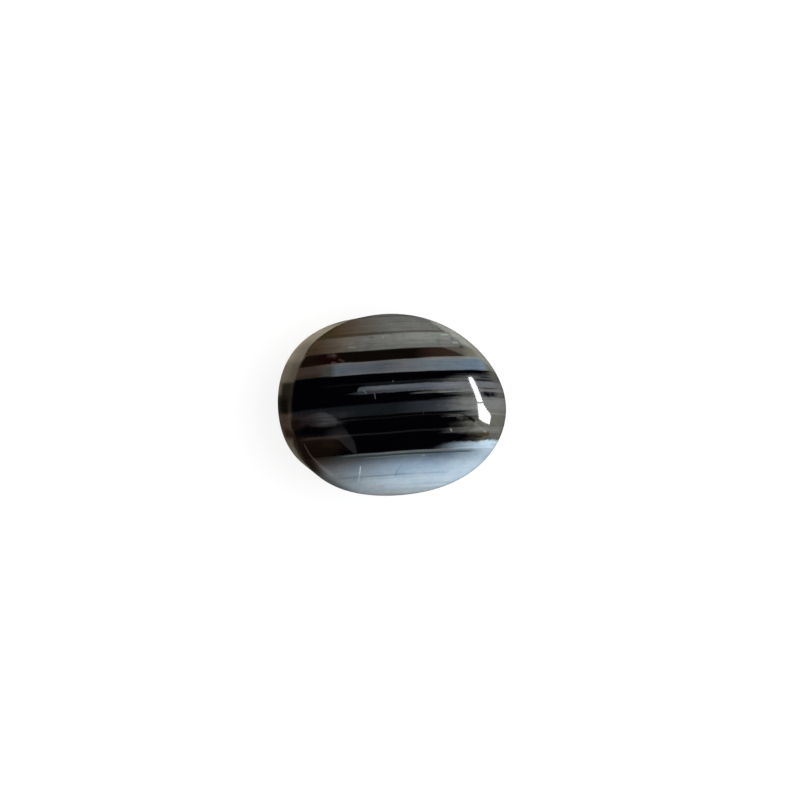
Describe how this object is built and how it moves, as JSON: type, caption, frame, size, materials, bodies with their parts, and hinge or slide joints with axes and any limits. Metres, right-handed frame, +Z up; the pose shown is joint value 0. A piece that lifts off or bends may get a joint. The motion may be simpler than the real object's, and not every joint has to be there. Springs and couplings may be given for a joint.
{
  "type": "sulemani agate cabochon",
  "caption": "Oval banded agate cabochon with a flat base, an inward-tapering side wall, a crisp girdle and a low polished dome.",
  "frame": {"origin": "middle of the flat base, on the surface that the stone rests on", "axes": "+X along the stone's length, towards its more pointed end; +Y across it, towards the grey and brown bands; +Z up through the dome"},
  "size_m": [0.016, 0.012, 0.0063],
  "materials": {
    "banded_agate": "polished to a high gloss; straight bands of black, grey, brown and pale blue"
  },
  "bodies": {
    "root": {"agate_cabochon": "banded_agate"}
  },
  "joints": []
}
